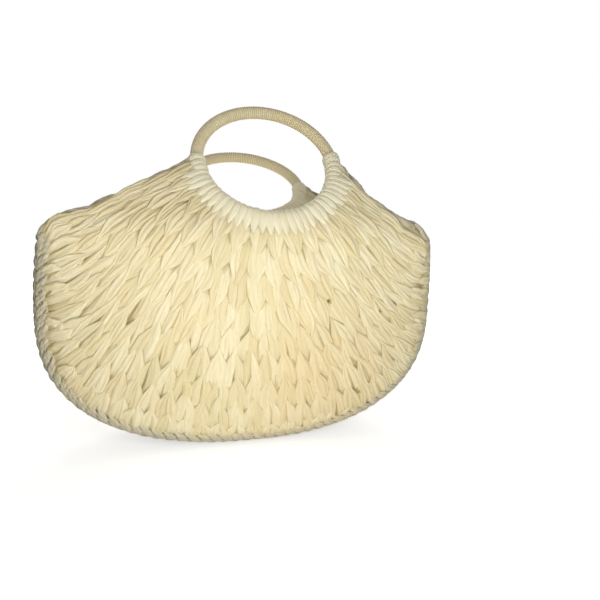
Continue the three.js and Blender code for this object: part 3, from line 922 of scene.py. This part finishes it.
def shoulder_edge(side, hand):
    """Two smooth strands twisted along a sloping edge, from beside the hoop round the ear."""
    sheet = SHEETS[side]
    x, h = sheet.edge(hand, np.linspace(0, 1, EDGE_SAMPLES))
    first = (hand * ROPE_START[0] + HOOP_OFFSET[side], FOLD_HEIGHT + ROPE_START[1])
    last = [(hand * knot_x, FOLD_HEIGHT + up) for knot_x, up in ROPE_END]
    knots, _ = resample(np.array([first, *zip(x, h), *last]), ROPE_STEPS)
    x, h = (smoothed(axis) for axis in knots.T)
    along = unit(np.stack([np.gradient(x), np.gradient(h)], -1)) * hand
    away_x, away_h = -along[:, 1], along[:, 0]
    shift = ROPE_SHIFT * smooth(np.arange(x.size) / SHIFT_STEPS)
    x, h = x + away_x * shift, h + away_h * shift
    depth = np.full_like(x, -WEAVE_THICKNESS / 2)
    path = sheet.raised(x, h, depth)
    outward = sheet.raised(x + away_x, h + away_h, depth) - path
    name = f"{SIDE_NAME[side]}_{HAND_NAME[hand]}"
    strands = rope(path, outward, **SHOULDER_ROPE)
    made = make_mesh(f"{name}_edge_strands", [strands], husk["edge_straw"])
    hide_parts(f"{name}_shoulder_edge")
    bend_at_fold(made, side)


# Collar bands. A loop is the path of a band's middle across the hoop, as a reach away from the
# hoop's centre and a distance out of the weave. Towards both ends of the collar, over so many
# degrees, the bands are plain wraps round the hoop. BAND_FIBRES is the length and half width that
# a band's fibres are drawn on.

LOOP = [
    (17, -4.0), (9, -7.6), (0, -8.6), (-6.1, -6.1), (-8.6, 0),
    (-6.1, 6.1), (0, 8.6), (8, 8.3), (16, 6.8), (23, 5.2),
]
LOOP_STEPS = 31
LOOP_TIP_END = 1.02
LOOP_TIP_SHARE = 0.26
LOOP_TIP_POWER = 0.7
WRAP_RADIUS = 8.5
WRAP_SPANS = (14, 26)
BAND_WIDTH = 6.8
BAND_COLUMNS = 9
BAND_FILL = 0.58
BAND_WIDENING = 0.35
BAND_CROWN = 1.6
BAND_SUNK = 0.7
BAND_TILT = 0.3
BAND_SECTION_POWER = 2.2
BAND_SHADE_POWER = 5
BAND_SLANT, BAND_SLANT_SPREAD = 1.5, 0.9
BAND_SIZE_SPREAD = (0.97, 1.05)
BAND_ANGLE_SPREAD = 0.3
BAND_FIBRES = (45, 4)


def collar_bands(side):
    """Flat husk bands looped over the hoop, from one end of the collar to the other."""
    left_end, right_end = COLLAR_ENDS[side]
    start, end = 180 - left_end, 360 + right_end
    count = round(math.radians(end - start) * HOOP_RADIUS / BAND_WIDTH)
    step = (end - start) / count
    loop, _ = resample(np.array(LOOP, float), LOOP_STEPS)
    turn = np.linspace(0, 2 * math.pi, LOOP_STEPS)
    wrap = WRAP_RADIUS * np.stack([np.cos(turn), -np.sin(turn)], -1)
    t = np.linspace(0, 1, LOOP_STEPS)[:, None]
    c = np.linspace(-1, 1, BAND_COLUMNS)
    rise = BAND_CROWN * (1 - np.abs(c) ** BAND_SECTION_POWER) - BAND_SUNK + BAND_TILT * c
    half_width = np.radians(step) * HOOP_RADIUS * BAND_FILL
    tip = np.clip((LOOP_TIP_END - t) / LOOP_TIP_SHARE, 0, 1) ** LOOP_TIP_POWER
    points, tints = [], []
    for i in range(count):
        angle = start + (i + 0.5) * step + rng.normal(0, BAND_ANGLE_SPREAD)
        wraps = angle - start < WRAP_SPANS[0] or end - angle < WRAP_SPANS[1]
        ring = (wrap if wraps else loop) * rng.uniform(*BAND_SIZE_SPREAD)
        normal = unit(np.gradient(ring, axis=0))[:, ::-1] * (-1, 1)
        normal *= np.sign(np.sum(normal * ring, -1, keepdims=True) + TINY)
        reach = ring[:, None, 0] + normal[:, None, 0] * rise
        out = ring[:, None, 1] + normal[:, None, 1] * rise
        slant = rng.normal(BAND_SLANT, BAND_SLANT_SPREAD) * (t - 0.5) * 2
        across = half_width * c * (1 + BAND_WIDENING * t) * (1 if wraps else tip) + slant
        theta = math.radians(angle) + across / HOOP_RADIUS
        radius = HOOP_RADIUS + reach
        x = HOOP_OFFSET[side] + radius * np.cos(theta)
        points.append(handle_point(side, x, out, HOOP_RISE + radius * np.sin(theta)))
        tints.append(rng.uniform(0, 1))
    tint = np.array(tints)[:, None, None]
    # Painted shade at the edges of each band, where it meets the next
    unshaded = 1 - np.abs(c) ** BAND_SHADE_POWER
    length, fibre_half_width = BAND_FIBRES
    bands = patch(np.stack(points), t * length, c * fibre_half_width, tint, unshaded)
    name = SIDE_NAME[side]
    made = make_mesh(f"{name}_collar_bands", [bands], husk["collar_straw"])
    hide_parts(f"{name}_collar")
    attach(made, f"{name}_handle")


# Cord on the hoops: heights above the rod, the power of the shade painted in its grooves, tint
# with painted light in it and its spread from turn to turn, a wander of the turns in radians
# between so many points, and the fibres' steps a turn and a radian

CORD_TURNS = 88
STEPS_PER_TURN = 8
CORD_SIDES = 24
CORD_HEIGHT = 1.3
CORD_DEPTH = 0.35
CORD_SHADE_POWER = 0.7
# The back cord is paler than the front: painted light for the back hoop, which the lamps reach less
CORD_TINT_AND_PAINTED_LIGHT = {FRONT: 0.6, BACK: 0.0}
CORD_TINT_SPREAD = 0.25
CORD_WANDER = 0.0022
WANDER_POINTS = 60
CORD_FIBRES = (0.5, 6)


def cord(side):
    """Fine cord wound side by side round the hoop's free arc, as its ridged outer surface."""
    left_end, right_end = COLLAR_ENDS[side]
    turns = np.linspace(0, CORD_TURNS, CORD_TURNS * STEPS_PER_TURN + 1)[:, None]
    wander_turns = np.linspace(0, CORD_TURNS, WANDER_POINTS)
    wander = np.interp(turns, wander_turns, rng.normal(0, CORD_WANDER, WANDER_POINTS))
    angle = np.radians(lerp(right_end, 180 - left_end, turns / CORD_TURNS)) + wander
    section = np.linspace(0, 2 * math.pi, CORD_SIDES, endpoint=False)
    ridge = np.sin(turns % 1 * math.pi)
    reach = ROD_RADIUS + CORD_HEIGHT + CORD_DEPTH * ridge
    radius = HOOP_RADIUS + reach * np.cos(section)
    x = HOOP_OFFSET[side] + radius * np.cos(angle)
    points = handle_point(side, x, reach * np.sin(section), HOOP_RISE + radius * np.sin(angle))
    turn_tint = rng.uniform(-CORD_TINT_SPREAD, CORD_TINT_SPREAD, CORD_TURNS + 1)
    tint = np.clip(CORD_TINT_AND_PAINTED_LIGHT[side] + turn_tint[turns.astype(int)], 0, 1)
    along, across = turns * CORD_FIBRES[0], section * CORD_FIBRES[1]
    # Painted shade in the grooves between turns of the cord
    winding = patch(points[None], along, across, tint, ridge**CORD_SHADE_POWER, wrap=True)
    name = SIDE_NAME[side]
    made = make_mesh(f"{name}_cord", [winding], husk["hoop_cord"])
    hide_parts(f"{name}_cord_winding")
    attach(made, f"{name}_handle")


def dress_hoops():
    rod = wood_material()
    for side in (FRONT, BACK):
        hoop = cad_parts[f"{SIDE_NAME[side]}_hoop"]
        hoop.data.materials.clear()
        hoop.data.materials.append(rod)


# Camera: place round the bag, direction and roll in degrees, and distances in millimetres

CAMERA_AZIMUTH = -8.93
CAMERA_DISTANCE = 566.1
CAMERA_HEIGHT = 261.4
CAMERA_YAW = -6.24
CAMERA_PITCH = -11.04
CAMERA_ROLL = 2.10
PICTURE_SIZE = 600
FOCAL_PIXELS = 520.4
SENSOR_WIDTH = 36


def camera():
    azimuth, pitch = math.radians(CAMERA_AZIMUTH), math.radians(CAMERA_PITCH)
    yaw, roll = math.radians(CAMERA_AZIMUTH + CAMERA_YAW), math.radians(CAMERA_ROLL)
    level = math.cos(pitch)
    forward = Vector((-math.sin(yaw) * level, math.cos(yaw) * level, math.sin(pitch)))
    right = forward.cross(Vector((0, 0, 1))).normalized()
    upright = right.cross(forward)
    across = right * math.cos(roll) + upright * math.sin(roll)
    up = upright * math.cos(roll) - right * math.sin(roll)
    data = bpy.data.cameras.new("camera")
    data.lens = FOCAL_PIXELS * SENSOR_WIDTH / PICTURE_SIZE
    data.sensor_width = SENSOR_WIDTH
    data.clip_start, data.clip_end = 0.01, 20
    made = bpy.data.objects.new("camera", data)
    bpy.context.scene.collection.objects.link(made)
    made.matrix_world = Matrix((
        (across.x, up.x, -forward.x, math.sin(azimuth) * CAMERA_DISTANCE * MM),
        (across.y, up.y, -forward.y, -math.cos(azimuth) * CAMERA_DISTANCE * MM),
        (across.z, up.z, -forward.z, CAMERA_HEIGHT * MM),
        (0, 0, 0, 1),
    ))
    bpy.context.scene.camera = made


# Area lights: name, place, target, width and height in metres, and power in watts
BAG_MIDDLE = (0, 0, 0.17)
LIGHTS = [
    ("strip", (-0.012, -0.45, 0.16), (-0.012, 0, 0.10), 0.1, 0.5, 1.8),
    ("overhead", (0.1, -0.2, 1.5), BAG_MIDDLE, 1.2, 1.2, 1.6),
    ("behind", (0.2, 1.3, 0.7), BAG_MIDDLE, 1.0, 1.0, 13),
    ("left", (-1.3, 0.4, 0.5), BAG_MIDDLE, 0.8, 0.8, 2.5),
    ("right", (1.3, 0.4, 0.5), BAG_MIDDLE, 0.8, 0.8, 2.2),
]
WORLD_STRENGTH = 0.13
WHITE = (1, 1, 1, 1)

# The floor's half size in metres and colour, its glow to the camera near the bag and far from it,
# and the distances in metres from which and to which the glow grows
FLOOR_HALF = 3
FLOOR_COLOUR = (0.8, 0.8, 0.79, 1)
FLOOR_ROUGHNESS = 0.9
GLOW_NEAR, GLOW_FAR = 0.56, 0.93
GLOW_START, GLOW_END = 0.3, 0.9


def area_light(name, place, target, width, height, power):
    data = bpy.data.lights.new(name, "AREA")
    data.shape = "RECTANGLE"
    data.size, data.size_y = width, height
    data.energy = power
    made = bpy.data.objects.new(name, data)
    bpy.context.scene.collection.objects.link(made)
    made.location = place
    made.rotation_mode = "QUATERNION"
    made.rotation_quaternion = (Vector(target) - Vector(place)).to_track_quat("-Z", "Y")


def light_world():
    """A faint even light that the camera sees as plain white."""
    world = bpy.data.worlds.new("world")
    bpy.context.scene.world = world
    world.use_nodes = True
    nodes, links = world.node_tree.nodes, world.node_tree.links
    faint = nodes["Background"]
    faint.inputs["Strength"].default_value = WORLD_STRENGTH
    ray = nodes.new("ShaderNodeLightPath")
    seen = nodes.new("ShaderNodeBackground")
    pick = nodes.new("ShaderNodeMixShader")
    for background in (faint, seen):
        background.inputs["Color"].default_value = WHITE
    links.new(ray.outputs["Is Camera Ray"], pick.inputs["Fac"])
    links.new(faint.outputs["Background"], pick.inputs[1])
    links.new(seen.outputs["Background"], pick.inputs[2])
    links.new(pick.outputs["Shader"], nodes["World Output"].inputs["Surface"])


def whiter_to_camera(nodes, links, shader):
    """The shader, with a white emission added for the camera: the bag's shadow stays, but pale."""
    places = nodes.new("ShaderNodeTexCoord")
    distance = nodes.new("ShaderNodeVectorMath")
    distance.operation = "LENGTH"
    links.new(places.outputs["Object"], distance.inputs[0])
    glow = nodes.new("ShaderNodeMapRange")
    links.new(distance.outputs["Value"], glow.inputs["Value"])
    limits = {"From Min": GLOW_START, "From Max": GLOW_END, "To Min": GLOW_NEAR, "To Max": GLOW_FAR}
    for key, number in limits.items():
        glow.inputs[key].default_value = number
    ray = nodes.new("ShaderNodeLightPath")
    strength = nodes.new("ShaderNodeMath")
    strength.operation = "MULTIPLY"
    links.new(ray.outputs["Is Camera Ray"], strength.inputs[0])
    links.new(glow.outputs["Result"], strength.inputs[1])
    white = nodes.new("ShaderNodeEmission")
    links.new(strength.outputs["Value"], white.inputs["Strength"])
    white.inputs["Color"].default_value = WHITE
    both = nodes.new("ShaderNodeAddShader")
    links.new(shader, both.inputs[0])
    links.new(white.outputs["Emission"], both.inputs[1])
    return both.outputs["Shader"]


def lay_floor():
    mesh = bpy.data.meshes.new("floor")
    low, high = -FLOOR_HALF, FLOOR_HALF
    corners = [(low, low, 0), (high, low, 0), (high, high, 0), (low, high, 0)]
    mesh.from_pydata(corners, [], [(0, 1, 2, 3)])
    floor = bpy.data.objects.new("floor", mesh)
    bpy.context.scene.collection.objects.link(floor)
    material, nodes, links, surface = new_material("floor")
    surface.inputs["Base Color"].default_value = FLOOR_COLOUR
    surface.inputs["Roughness"].default_value = FLOOR_ROUGHNESS
    shader = whiter_to_camera(nodes, links, surface.outputs["BSDF"])
    links.new(shader, nodes["Material Output"].inputs["Surface"])
    mesh.materials.append(material)


for side in (FRONT, BACK):
    body_weave(side)
    collar_bands(side)
    cord(side)
    seam_twine(side)
    for hand in (LEFT, RIGHT):
        shoulder_edge(side, hand)
gusset_weave()
for hand in (LEFT, RIGHT):
    ear_rim(hand)
dress_hoops()
camera()
for light in LIGHTS:
    area_light(*light)
light_world()
lay_floor()
bpy.context.scene.view_settings.view_transform = "Standard"
